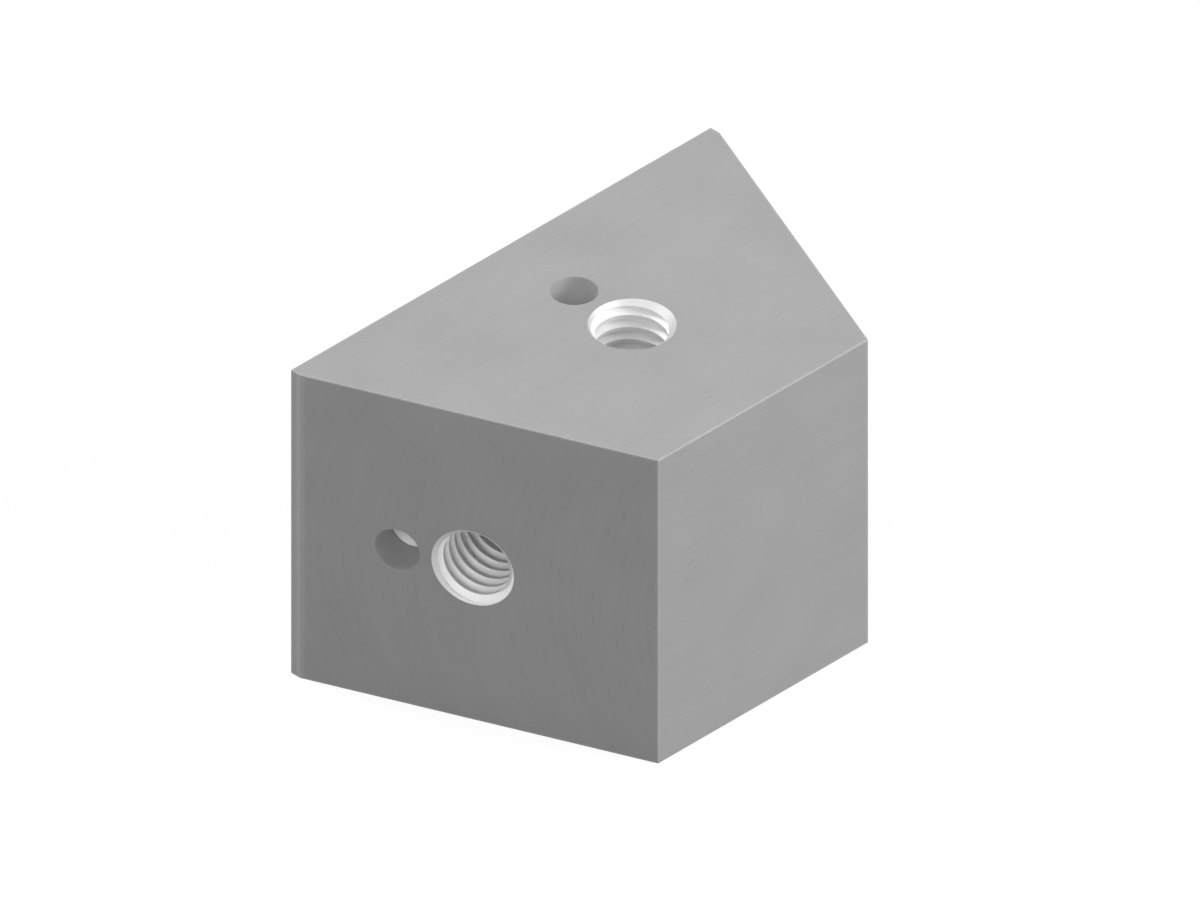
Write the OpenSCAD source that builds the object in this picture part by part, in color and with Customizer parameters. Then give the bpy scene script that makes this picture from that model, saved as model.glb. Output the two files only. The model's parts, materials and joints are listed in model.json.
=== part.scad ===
// Corner block of an eight-sided truss ring, cut from square aluminium bar.
// Both ends are mitred, so that the struts seated on them leave 135 degrees apart.
// The top and both mitre faces are joint faces: each has a countersunk tapped hole
// for the strut's screw and a blind pin hole that stops the strut from turning.
// The origin is under the middle of the block, Y runs along the bar, and the bar's
// long side faces -X.

/* [Bar] */
// Side of the square bar
bar_size = 25; // [24.5:0.5:40]
// Length of the long side, between the blunt tips
long_side = 40; // [36:0.5:60]
// Length of the short side, between the mitre faces
short_side = 20; // [19.5:0.5:30]
// Angle of each mitre face from a square cut
mitre_angle = 22.5; // [21:0.5:24]

/* [Screw holes] */
// Diameter of the bore, as drilled for an M6 thread
screw_bore = 5; // [4:0.1:5.2]
// Depth of the bore, down to the drill point
screw_depth = 12; // [6:0.5:12.5]
// Diameter of the countersink at the face
countersink_width = 6; // [5.6:0.1:7]
// Full angle of the countersink
countersink_angle = 90; // [60:5:120]

/* [Pin holes] */
// Diameter of the bore
pin_bore = 3.3; // [2:0.1:3.6]
// Depth of the bore, down to the drill point
pin_depth = 3; // [2:0.5:6]
// Distance from the screw hole's axis, towards the long side
pin_offset = 5.5; // [5.5:0.1:7]

/* [Drill] */
// Full angle of the drill's point
point_angle = 118; // [110:1:140]

/* [Hidden] */
$fn = 96;
// How far a cutter runs on past the face that it starts from
overrun = 1;
// Edge of a cutter that is wider than any face of the bar
waste_size = 4 * bar_size;
// Distance from the middle of the bar to a mitre face, along the centre line
mitre_mid = short_side / 2 + bar_size / 2 * tan(mitre_angle);

// A cone that narrows downwards from z = 0, with the given full angle
module cone_down(width, tip_width, full_angle) {
    depth = (width - tip_width) / 2 / tan(full_angle / 2);
    translate([0, 0, -depth])
        cylinder(h = depth, d1 = tip_width, d2 = width);
}

// A drilled blind hole, down from z = 0
module drilled_hole(width, depth) {
    translate([0, 0, -depth]) {
        cylinder(h = depth + overrun, d = width);
        cone_down(width, 0, point_angle);
    }
}

// The holes of one joint face, down from z = 0, with the long side towards -X
module joint_holes() {
    drilled_hole(screw_bore, screw_depth);
    cone_down(countersink_width, screw_bore, countersink_angle);
    translate([-pin_offset, 0, 0])
        drilled_hole(pin_bore, pin_depth);
}

// Puts its children on a mitre face, where z = 0 is the face and +Z points out of it
module on_mitre_face() {
    translate([0, -mitre_mid, bar_size / 2])
        rotate([90, 0, mitre_angle])
            children();
}

// What is taken off one end of the bar: the sawn waste and the joint's holes
module mitre_cut() {
    on_mitre_face() {
        translate([0, 0, waste_size / 2])
            cube(waste_size, center = true);
        joint_holes();
    }
}

module corner_block() {
    color("silver")
        difference() {
            translate([-bar_size / 2, -long_side / 2, 0])
                cube([bar_size, long_side, bar_size]);
            for (far_end = [0, 1])
                mirror([0, far_end, 0])
                    mitre_cut();
            translate([0, 0, bar_size])
                joint_holes();
        }
}

corner_block();
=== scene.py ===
"""The truss corner's looks: the machined mesh, its metal, the studio and the camera."""

import json
from itertools import combinations
from math import cos, pi, radians, sin, tan

import bmesh
import bpy
from mathutils import Matrix, Vector


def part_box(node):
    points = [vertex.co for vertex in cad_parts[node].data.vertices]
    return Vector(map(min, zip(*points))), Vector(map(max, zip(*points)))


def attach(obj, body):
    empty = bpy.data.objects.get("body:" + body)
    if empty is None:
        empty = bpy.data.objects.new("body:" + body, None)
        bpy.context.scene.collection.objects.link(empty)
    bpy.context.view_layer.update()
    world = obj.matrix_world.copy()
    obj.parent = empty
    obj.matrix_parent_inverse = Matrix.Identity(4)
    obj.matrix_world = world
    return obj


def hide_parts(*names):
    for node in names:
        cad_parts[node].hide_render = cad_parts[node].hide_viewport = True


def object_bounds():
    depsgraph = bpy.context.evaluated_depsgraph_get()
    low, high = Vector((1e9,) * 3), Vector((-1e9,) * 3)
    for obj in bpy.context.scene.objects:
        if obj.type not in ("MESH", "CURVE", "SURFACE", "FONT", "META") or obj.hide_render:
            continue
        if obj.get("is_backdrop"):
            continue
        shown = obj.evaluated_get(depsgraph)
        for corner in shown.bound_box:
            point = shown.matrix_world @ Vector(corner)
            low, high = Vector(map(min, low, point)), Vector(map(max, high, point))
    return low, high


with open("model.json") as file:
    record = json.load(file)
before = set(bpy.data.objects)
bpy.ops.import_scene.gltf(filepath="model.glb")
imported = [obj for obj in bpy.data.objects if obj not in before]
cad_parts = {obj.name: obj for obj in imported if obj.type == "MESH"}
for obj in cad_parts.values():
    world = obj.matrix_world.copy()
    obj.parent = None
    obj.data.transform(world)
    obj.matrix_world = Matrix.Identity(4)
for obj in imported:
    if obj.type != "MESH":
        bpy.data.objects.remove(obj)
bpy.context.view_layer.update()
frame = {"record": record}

# The mesh is modelled in millimetres and scaled to metres at the end
MM = 0.001
FACES = ("top", "near", "far")

# Machining details that the frame doesn't hold, in millimetres and radians
EDGE_BREAK = 0.06
COUNTERSINK_DEPTH = 0.5
POINT_ANGLE = radians(118)
THREAD_PITCH = 1.0
THREAD_ROOT_RADIUS = 3.0
THREAD_INNER_RADIUS = 2.4
THREAD_ROOT_FLAT = THREAD_PITCH / 8
THREAD_FLANK_ANGLE = radians(30)

# The tap's foot is this deep. The thread starts one run-out above it, and is full after two
TAP_DEPTH = 10.5
THREAD_RUNOUT = 1.5

# Millimetres that a cutter runs past its face, that a point may be off a hole's wall, and
# within which points are joined
OVERRUN = 1.0
TOLERANCE = 0.01
WELD = 0.0005

# Sides of a turned cutter, and of one turn of the tap, which are set half a side apart
ROUND_SIDES = 128
# A hole's wall is smooth across its sides, and keeps the edges that turn more than this
CREASE_ANGLE = radians(32)

# The photo's view, measured on its edges: an isometric drawing on a frame this wide
VIEW_AZIMUTH = radians(45)
VIEW_ELEVATION = radians(35.264)
VIEW_WIDTH = 80.8 * MM
VIEW_RIGHT = -2.156 * MM
VIEW_UP = 11.95 * MM
VIEW_DISTANCE = 400 * MM
CLIP_START = 10 * MM
CLIP_END = 10.0

# Outer metal: its linear grey, and how far each kind of mark moves it
BLOCK_GREY = 0.42
CLOUD_TONE = 0.07
GRAIN_TONE = 0.06
LINE_TONE = 0.05
RUBBED_TONE = 0.06

# Outer metal: how metallic and rough it is, how far the marks move the roughness, and the
# shares of the dimples and the grain in its relief
BLOCK_METALLIC = 0.18
BLOCK_ROUGHNESS = 0.38
GRAIN_ROUGHNESS = 0.16
RUBBED_ROUGHNESS = -0.10
DIMPLE_RELIEF = 0.6
GRAIN_RELIEF = 0.4

# Outer metal's marks, in millimetres
GRAIN = 0.16
GRAIN_HEIGHT = 0.010
CLOUD = 6.0
DRAWN_LINE_WIDTH = 0.25
DRAWN_LINE_LENGTH = 16.0
DRAWN_LINE_HEIGHT = 0.005
MILLING_RADIUS = 22.0
MILLING_FEED = 0.40
MILLING_HEIGHT = 0.010
RUBBED_CORE = 0.03
RUBBED_WIDTH = 0.20
RAGGED_WIDTH = 0.16
RAGGED_LENGTH = 0.40

# Hole metals: linear grey, how far the marks move it, roughness, and the marks' height in
# millimetres. The greys are partly the lighter tone of freshly cut metal and partly painted
# light: they are raised well above the block's grey to cancel the shade that falls inside the
# holes
HOLE_METALS = {
    "drilled_metal": (0.64, 0.10, 0.45, 0.006),
    "tapped_metal": (0.88, 0.08, 0.52, 0.003),
}
HOLE_METALLIC = 0.7
MARK_ROUGHNESS = 0.2

# Drill rings per millimetre along and across the hole, and tap streaks per pitch and per
# millimetre of radius
RINGS_ALONG = 9.0
RINGS_ACROSS = 0.25
STREAKS_PER_PITCH = 18.0
STREAKS_ACROSS = 14.0

# Softboxes: name, azimuth and elevation in degrees, distance and size in metres, watts
SOFTBOXES = (
    ("left", -65, 46, 0.70, 0.30, 1.85),
    ("front", 24, 34, 0.70, 0.30, 0.92),
    ("right", 118, 27, 0.70, 0.35, 3.38),
    ("back", 200, 62, 0.70, 0.40, 0.85),
)
DOME_LEVEL = 0.03
FLOOR_SIZE = 4.0
FLOOR_GREY = 0.25
FLOOR_LIFT = 0.85

mounts = {mount["name"]: mount for mount in frame["record"]["mounts"]}


def mount_place(name):
    """A mount's point in millimetres, and its direction."""
    return Vector(mounts[name]["pos_m"]) / MM, Vector(mounts[name]["axis"]).normalized()


def mouth(face, hole):
    """Where a hole's axis meets its joint face."""
    inside, _ = mount_place(f"{face}_{hole}")
    seat, out = mount_place(f"{face}_seat")
    return inside + out * (seat - inside).dot(out)


def hole_place(face, hole):
    """A hole's own frame: its mouth, X away from the pin hole, and Z out of the face."""
    _, out = mount_place(f"{face}_seat")
    across = mouth(face, "screw_hole") - mouth(face, "pin_hole")
    across = (across - out * across.dot(out)).normalized()
    turn = Matrix((across, out.cross(across), out)).transposed().to_4x4()
    return Matrix.Translation(mouth(face, hole)) @ turn


def hole_size(hole):
    """Radius and wall length of a hole, in millimetres."""
    dims = mounts[f"top_{hole}"]["dims"]
    return dims["r_mm"], dims["length_mm"]


def tip_depth(hole):
    """How deep the tip of a hole's drill point lies, in millimetres."""
    radius, wall = hole_size(hole)
    start = COUNTERSINK_DEPTH if hole == "screw_hole" else 0
    return start + wall + radius / tan(POINT_ANGLE / 2)


def block_box():
    """The low and high corners of the block's box, in millimetres."""
    return [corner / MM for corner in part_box("corner_block")]


def new_object(name, bm, *materials):
    """A mesh object from a bmesh, with its face normals turned outwards."""
    mesh = bpy.data.meshes.new(name)
    bmesh.ops.recalc_face_normals(bm, faces=bm.faces)
    bm.to_mesh(mesh)
    bm.free()
    for material in materials:
        mesh.materials.append(material)
    made = bpy.data.objects.new(name, mesh)
    bpy.context.scene.collection.objects.link(made)
    return made


def sawn_bar():
    """The bar, sawn along both mitre faces, which carry its second metal, with broken edges."""
    low, high = block_box()
    bm = bmesh.new()
    bmesh.ops.create_cube(bm, size=1, matrix=Matrix.Translation((low + high) / 2)
                          @ Matrix.Diagonal((*(high - low), 1)))
    for face in ("near", "far"):
        point, out = mount_place(f"{face}_seat")
        cut = bmesh.ops.bisect_plane(bm, geom=bm.verts[:] + bm.edges[:] + bm.faces[:],
                                     plane_co=point, plane_no=out, clear_outer=True)
        edges = [item for item in cut["geom_cut"] if isinstance(item, bmesh.types.BMEdge)]
        for made in bmesh.ops.contextual_create(bm, geom=edges)["faces"]:
            made.material_index = 1
    bmesh.ops.bevel(bm, geom=bm.edges[:], offset=EDGE_BREAK, segments=2, profile=0.5,
                    affect="EDGES")
    return bm


def turned_cutter(profile):
    """A solid turned round Z from (radius, height) points. The first and last are on the axis."""
    bm = bmesh.new()
    rings = []
    for radius, height in profile:
        count = ROUND_SIDES if radius else 1
        angles = [2 * pi * side / ROUND_SIDES for side in range(count)]
        rings.append([bm.verts.new((radius * cos(a), radius * sin(a), height)) for a in angles])
    for lower, upper in zip(rings, rings[1:]):
        for side in range(ROUND_SIDES):
            following = (side + 1) % ROUND_SIDES
            corners = [lower[side % len(lower)], lower[following % len(lower)],
                       upper[following % len(upper)], upper[side % len(upper)]]
            bm.faces.new(list(dict.fromkeys(corners)))
    return bm


def screw_drill():
    """The tap drill of a screw hole, with the countersink's cone as its second metal."""
    radius, wall = hole_size("screw_hole")
    bm = turned_cutter([
        (0, -tip_depth("screw_hole")),
        (radius, -COUNTERSINK_DEPTH - wall),
        (radius, -COUNTERSINK_DEPTH),
        (radius + COUNTERSINK_DEPTH + OVERRUN, OVERRUN),
        (0, OVERRUN),
    ])
    for face in bm.faces:
        face.material_index = int(face.calc_center_median().z > -COUNTERSINK_DEPTH)
    return bm


def pin_drill():
    """The drill of a pin hole, which leaves a crisp rim."""
    radius, wall = hole_size("pin_hole")
    return turned_cutter([
        (0, -tip_depth("pin_hole")),
        (radius, -wall),
        (radius, OVERRUN),
        (0, OVERRUN),
    ])


def tap_groove():
    """One pitch of the tap's outline: (share of the pitch, radius) from one inner edge on."""
    flank = (THREAD_ROOT_RADIUS - THREAD_INNER_RADIUS) * tan(THREAD_FLANK_ANGLE)
    root = THREAD_ROOT_FLAT / 2
    return [
        (0.5 - (root + flank) / THREAD_PITCH, THREAD_INNER_RADIUS),
        (0.5 - root / THREAD_PITCH, THREAD_ROOT_RADIUS),
        (0.5 + root / THREAD_PITCH, THREAD_ROOT_RADIUS),
        (0.5 + (root + flank) / THREAD_PITCH, THREAD_INNER_RADIUS),
    ]


def tap_column(groove, side):
    """The points of the tap's outline at one of its sides, from the foot up."""
    angle = 2 * pi * (side + 0.5) / ROUND_SIDES
    turns = int((TAP_DEPTH + OVERRUN) / THREAD_PITCH) + 1
    column = []
    for turn in range(turns):
        for share, radius in groove:
            height = (turn + share + side / ROUND_SIDES) * THREAD_PITCH - TAP_DEPTH
            lead = min(max((height + TAP_DEPTH) / THREAD_RUNOUT - 1, 0), 1)
            reach = THREAD_INNER_RADIUS + (radius - THREAD_INNER_RADIUS) * lead
            column.append((reach * cos(angle), reach * sin(angle), height))
    return column


def tap():
    """A right-hand tap as one closed helical solid, whose thread fades out towards its foot."""
    groove = tap_groove()
    bm = bmesh.new()
    columns = [tap_column(groove, side) for side in range(ROUND_SIDES + 1)]
    verts = [[bm.verts.new(place) for place in column] for column in columns[:-1]]
    # The last column lies on the first one, a turn further up
    top_turn = [bm.verts.new(place) for place in columns[-1][-len(groove):]]
    verts.append(verts[0][len(groove):] + top_turn)
    for left, right in zip(verts, verts[1:]):
        for row in range(len(left) - 1):
            bm.faces.new((left[row], right[row], right[row + 1], left[row + 1]))
    cap_helix(bm, [column[0] for column in verts] + verts[0][len(groove) - 1:0:-1], -1)
    cap_helix(bm, [column[-1] for column in verts] + top_turn[-2::-1], 1)
    return bm


def cap_helix(bm, loop, way):
    """Closes the tap's foot (way -1) or head (way 1) with a fan from a point on its axis."""
    ends = [vert.co.z for vert in loop]
    tip = bm.verts.new((0, 0, (min(ends) if way < 0 else max(ends)) + way * THREAD_PITCH / 2))
    for first, second in zip(loop, loop[1:] + loop[:1]):
        bm.faces.new((first, second, tip))


def joint_cutters(drilled, tapped):
    """The drills and taps of all three joints, each in its place."""
    tools = (
        ("screw_drill", "screw_hole", screw_drill, (tapped, drilled)),
        ("tap", "screw_hole", tap, (tapped,)),
        ("pin_drill", "pin_hole", pin_drill, (drilled,)),
    )
    cutters = []
    for face in FACES:
        for name, hole, make, metals in tools:
            cutter = new_object(f"{face}_{name}", make(), *metals)
            cutter.data.transform(hole_place(face, hole))
            cutters.append(cutter)
    return cutters


def subtract(block, cutters):
    """Cuts the cutters out of the block, whose new faces take their metals, and removes them."""
    for cutter in cutters:
        cut = block.modifiers.new(cutter.name, "BOOLEAN")
        cut.operation = "DIFFERENCE"
        cut.solver = "EXACT"
        cut.material_mode = "TRANSFER"
        cut.object = cutter
    applied = bpy.data.meshes.new_from_object(
        block.evaluated_get(bpy.context.evaluated_depsgraph_get()))
    block.modifiers.clear()
    block.data = applied
    for cutter in cutters:
        bpy.data.objects.remove(cutter)


def weld(mesh):
    """Joins the points that the cuts left on top of each other."""
    bm = bmesh.new()
    bm.from_mesh(mesh)
    bmesh.ops.remove_doubles(bm, verts=bm.verts, dist=WELD)
    bm.to_mesh(mesh)
    bm.free()


def cut_block():
    """The finished block: the sawn bar with its three joints drilled, countersunk and tapped."""
    drilled = hole_metal("drilled_metal", drill_rings)
    tapped = hole_metal("tapped_metal", tap_streaks)
    block_metal = outer_metal("block_metal", drawn_lines, DRAWN_LINE_HEIGHT)
    mitre_metal = outer_metal("mitre_metal", milling_arcs, MILLING_HEIGHT)
    block = new_object("machined_block", sawn_bar(), block_metal, mitre_metal)
    subtract(block, joint_cutters(drilled, tapped))
    weld(block.data)
    return block


def mark_hole_places(mesh):
    """Stores, at each point of a hole, its place in that hole's own frame, in millimetres."""
    reaches = {"screw_hole": THREAD_ROOT_RADIUS, "pin_hole": hole_size("pin_hole")[0]}
    frames = [(hole_place(face, hole).inverted(), reach, tip_depth(hole))
              for face in FACES for hole, reach in reaches.items()]
    places = mesh.attributes.new("hole_place", "FLOAT_VECTOR", "POINT")
    for index, vertex in enumerate(mesh.vertices):
        for inverse, reach, depth in frames:
            place = inverse @ vertex.co
            within = -TOLERANCE < -place.z < depth + TOLERANCE
            if within and place.xy.length < reach + TOLERANCE:
                places.data[index].vector = place
                break


def shade(mesh):
    """Flat outer faces, and smooth hole walls that keep their creases."""
    # This makes every face smooth, so it comes before the flat faces
    mesh.set_sharp_from_angle(angle=CREASE_ANGLE)
    for polygon in mesh.polygons:
        polygon.use_smooth = mesh.materials[polygon.material_index].name in HOLE_METALS


class Nodes:
    """Adds nodes to one node tree, each made from its inputs in order."""

    def __init__(self, tree):
        self.tree = tree
        self.tree.nodes.clear()

    def add(self, kind, inputs=(), **settings):
        """A node's outputs. inputs are values or outputs by position, or a dict by name."""
        node = self.tree.nodes.new(kind)
        for name, value in settings.items():
            setattr(node, name, value)
        named = inputs.items() if isinstance(inputs, dict) else enumerate(inputs)
        for key, value in named:
            if isinstance(value, bpy.types.NodeSocket):
                self.tree.links.new(value, node.inputs[key])
            else:
                node.inputs[key].default_value = value
        return node.outputs

    def math(self, operation, *values):
        return self.add("ShaderNodeMath", values, operation=operation)[0]

    def vary(self, level, noise, amount):
        """level, moved up and down by amount times a noise around 0.5."""
        return self.math("MULTIPLY_ADD", self.math("SUBTRACT", noise, 0.5), amount, level)

    def parts(self, vector):
        return self.add("ShaderNodeSeparateXYZ", [vector])

    def join(self, *values):
        return self.add("ShaderNodeCombineXYZ", values)[0]

    def noise(self, place, scale=1.0, detail=3.0):
        return self.add("ShaderNodeTexNoise", {"Vector": place, "Scale": scale,
                                               "Detail": detail})["Fac"]

    def fall(self, value, start, end):
        """1 up to start, 0 from end on, and a smooth step between them."""
        return self.add("ShaderNodeMapRange", {0: value, 1: start, 2: end, 3: 1.0, 4: 0.0},
                        interpolation_type="SMOOTHSTEP")[0]

    def bump(self, height, distance, normal=None):
        inputs = {"Strength": 1.0, "Distance": distance, "Height": height}
        if normal:
            inputs["Normal"] = normal
        return self.add("ShaderNodeBump", inputs)[0]

    def grey(self, level):
        return self.add("ShaderNodeCombineColor", [level] * 3)[0]


def new_material(name):
    """A material with an empty node tree."""
    material = bpy.data.materials.new(name)
    material.use_nodes = True
    return material, Nodes(material.node_tree)


def finish_metal(n, grey, roughness, normal, metallic):
    """The metal's shader and the material's output."""
    shader = n.add("ShaderNodeBsdfPrincipled", {"Base Color": n.grey(grey), "Metallic": metallic,
                                                "Roughness": roughness, "Normal": normal})
    n.add("ShaderNodeOutputMaterial", [shader[0]])


def edge_distance(n, place):
    """Distance to the block's nearest outer edge, in millimetres, from its faces' planes."""
    _, high = block_box()
    seat, out = mount_place("far_seat")
    x, y, z = n.parts(place)
    along = n.math("ABSOLUTE", y)
    mitre = n.math("MULTIPLY_ADD", x, -out.x, seat.dot(out))
    depths = [
        n.math("SUBTRACT", high.x, n.math("ABSOLUTE", x)),
        n.math("SUBTRACT", high.y, along),
        n.math("SUBTRACT", high.z / 2, n.math("ABSOLUTE", n.math("SUBTRACT", z, high.z / 2))),
        n.math("MULTIPLY_ADD", along, -out.y, mitre),
    ]
    nearest = None
    for first, second in combinations(depths, 2):
        further = n.math("MAXIMUM", first, second)
        nearest = further if nearest is None else n.math("MINIMUM", nearest, further)
    return nearest


def rubbed_edges(n, place):
    """1 on the rubbed outer edges and 0 on the faces, with a ragged border."""
    ragged = n.math("MULTIPLY_ADD", n.noise(place, 1 / RAGGED_LENGTH), RAGGED_WIDTH,
                    -RAGGED_WIDTH / 2)
    return n.fall(n.math("ADD", edge_distance(n, place), ragged), RUBBED_CORE, RUBBED_WIDTH)


def across_mitre(n, place):
    """Place along a mitre face's level line, the same on both faces."""
    _, out = mount_place("far_seat")
    x, y, _ = n.parts(place)
    return n.math("MULTIPLY_ADD", x, out.y, n.math("MULTIPLY", n.math("ABSOLUTE", y), -out.x))


def drawn_lines(n, place):
    """Faint lines along the bar, from the die."""
    x, y, z = n.parts(place)
    return n.noise(n.join(n.math("DIVIDE", x, DRAWN_LINE_WIDTH),
                          n.math("DIVIDE", y, DRAWN_LINE_LENGTH),
                          n.math("DIVIDE", z, DRAWN_LINE_WIDTH)), detail=4.0)


def milling_arcs(n, place):
    """Faint arcs that a face mill leaves as it crosses the mitre face."""
    _, high = block_box()
    height = n.math("SUBTRACT", n.parts(place)[2], high.z / 2)
    reach = n.math("SQRT", n.math("MULTIPLY_ADD", n.math("MULTIPLY", height, height), -1.0,
                                  MILLING_RADIUS ** 2))
    arc = n.math("ADD", across_mitre(n, place), reach)
    return n.noise(n.join(n.math("DIVIDE", arc, MILLING_FEED),
                          n.math("DIVIDE", height, DRAWN_LINE_LENGTH), 0.0), detail=2.0)


def outer_metal(name, marks, mark_height):
    """Lightly blasted aluminium, with the marks of its machining under the blasting."""
    material, n = new_material(name)
    place = n.add("ShaderNodeVectorMath", {"Vector": n.add("ShaderNodeTexCoord")["Object"],
                                           "Scale": 1 / MM}, operation="SCALE")[0]
    grain = n.noise(place, 1 / GRAIN)
    dimples = n.add("ShaderNodeTexVoronoi", {"Vector": place, "Scale": 1 / GRAIN},
                    feature="SMOOTH_F1")[0]
    lines = marks(n, place)
    rubbed = rubbed_edges(n, place)
    tone = n.vary(BLOCK_GREY, n.noise(place, 1 / CLOUD, detail=5.0), CLOUD_TONE)
    tone = n.vary(tone, grain, GRAIN_TONE)
    tone = n.vary(tone, lines, LINE_TONE)
    tone = n.math("MULTIPLY_ADD", rubbed, RUBBED_TONE, tone)
    rough = n.math("MULTIPLY_ADD", grain, GRAIN_ROUGHNESS, BLOCK_ROUGHNESS)
    rough = n.math("MULTIPLY_ADD", rubbed, RUBBED_ROUGHNESS, rough)
    relief = n.math("MULTIPLY_ADD", dimples, DIMPLE_RELIEF,
                    n.math("MULTIPLY", grain, GRAIN_RELIEF))
    normal = n.bump(relief, GRAIN_HEIGHT * MM)
    normal = n.bump(lines, mark_height * MM, normal)
    finish_metal(n, tone, rough, normal, BLOCK_METALLIC)
    return material


def hole_coordinates(n):
    """X, Y, Z and radius in a hole's own frame, in millimetres."""
    place = n.add("ShaderNodeAttribute", attribute_name="hole_place")["Vector"]
    x, y, z = n.parts(place)
    radius = n.add("ShaderNodeVectorMath", [n.join(x, y, 0.0)], operation="LENGTH")["Value"]
    return x, y, z, radius


def drill_rings(n):
    """Fine rings left by the drill's lips, on its wall and its point."""
    x, y, z, radius = hole_coordinates(n)
    along = n.math("MULTIPLY_ADD", z, RINGS_ALONG, n.math("MULTIPLY", radius, RINGS_ALONG))
    return n.noise(n.join(n.math("MULTIPLY", x, RINGS_ACROSS),
                          n.math("MULTIPLY", y, RINGS_ACROSS), along))


def tap_streaks(n):
    """Fine streaks that follow the thread."""
    x, y, z, radius = hole_coordinates(n)
    turns = n.math("DIVIDE", n.math("ARCTAN2", y, x), 2 * pi)
    phase = n.math("SUBTRACT", turns, n.math("DIVIDE", z, THREAD_PITCH))
    around = n.math("SINE", n.math("MULTIPLY", turns, 2 * pi))
    return n.noise(n.join(n.math("MULTIPLY", phase, STREAKS_PER_PITCH),
                          n.math("MULTIPLY", radius, STREAKS_ACROSS), around))


def hole_metal(name, marks):
    """Freshly cut metal, whose marks move its grey, its roughness and its height. Its grey is
    partly painted light, brighter than the cut metal alone, to cancel the shade inside the hole.
    """
    grey, tone, roughness, height = HOLE_METALS[name]
    material, n = new_material(name)
    noise = marks(n)
    rough = n.math("MULTIPLY_ADD", noise, MARK_ROUGHNESS, roughness)
    finish_metal(n, n.vary(grey, noise, tone), rough, n.bump(noise, height * MM), HOLE_METALLIC)
    return material


def way_back(azimuth, elevation):
    """The way from the block to a camera or lamp. Azimuth turns from -Y towards +X."""
    return Vector((sin(azimuth) * cos(elevation), -cos(azimuth) * cos(elevation),
                   sin(elevation)))


def hang(thing, location, back):
    """Puts a camera or lamp in its place, looking against the way back."""
    thing.location = location
    thing.rotation_euler = (-back).to_track_quat("-Z", "Y").to_euler()
    bpy.context.scene.collection.objects.link(thing)


def add_camera():
    """The photo's isometric view."""
    back = way_back(VIEW_AZIMUTH, VIEW_ELEVATION)
    right = Vector((cos(VIEW_AZIMUTH), sin(VIEW_AZIMUTH), 0))
    up = back.cross(right)
    data = bpy.data.cameras.new("camera")
    data.type = "ORTHO"
    data.ortho_scale = VIEW_WIDTH
    data.clip_start = CLIP_START
    data.clip_end = CLIP_END
    camera = bpy.data.objects.new("camera", data)
    hang(camera, right * VIEW_RIGHT + up * VIEW_UP + back * VIEW_DISTANCE, back)
    bpy.context.scene.camera = camera


def add_softbox(name, azimuth, elevation, distance, size, watts):
    """A square softbox that faces the block. Azimuths count as the camera's do."""
    low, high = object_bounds()
    back = way_back(radians(azimuth), radians(elevation))
    data = bpy.data.lights.new(name, "AREA")
    data.size = size
    data.energy = watts
    lamp = bpy.data.objects.new(name, data)
    lamp.visible_camera = False
    hang(lamp, (low + high) / 2 + back * distance, back)


def background_level(n, lit, seen):
    """lit for the rays that light the block, and seen for camera, glossy and clear rays."""
    rays = n.add("ShaderNodeLightPath")
    shown = n.math("MAXIMUM", rays["Is Camera Ray"], rays["Is Glossy Ray"])
    shown = n.math("MAXIMUM", shown, rays["Is Transmission Ray"])
    return n.math("MULTIPLY_ADD", shown, seen - lit, lit)


def add_dome():
    """An even grey sky, which the camera and reflections see as white."""
    world = bpy.data.worlds.new("dome")
    world.use_nodes = True
    bpy.context.scene.world = world
    n = Nodes(world.node_tree)
    level = background_level(n, lit=DOME_LEVEL, seen=1.0)
    backdrop = n.add("ShaderNodeBackground", {"Color": (1, 1, 1, 1), "Strength": level})
    n.add("ShaderNodeOutputWorld", [backdrop[0]])


def add_floor():
    """A plain floor that looks white to the camera and keeps the block's shadow."""
    material, n = new_material("floor")
    diffuse = n.add("ShaderNodeBsdfDiffuse", {"Color": (FLOOR_GREY, FLOOR_GREY, FLOOR_GREY, 1)})
    level = background_level(n, lit=0.0, seen=FLOOR_LIFT)
    glow = n.add("ShaderNodeEmission", {"Strength": level})
    shader = n.add("ShaderNodeAddShader", [diffuse[0], glow[0]])
    n.add("ShaderNodeOutputMaterial", [shader[0]])
    bm = bmesh.new()
    bmesh.ops.create_grid(bm, x_segments=1, y_segments=1, size=FLOOR_SIZE / 2)
    new_object("floor", bm, material)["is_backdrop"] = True


bpy.context.scene.view_settings.view_transform = "Standard"
add_camera()
block = cut_block()
mark_hole_places(block.data)
shade(block.data)
block.data.transform(Matrix.Scale(MM, 4))
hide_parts("corner_block")
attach(block, "root")
add_dome()
add_floor()
for softbox in SOFTBOXES:
    add_softbox(*softbox)
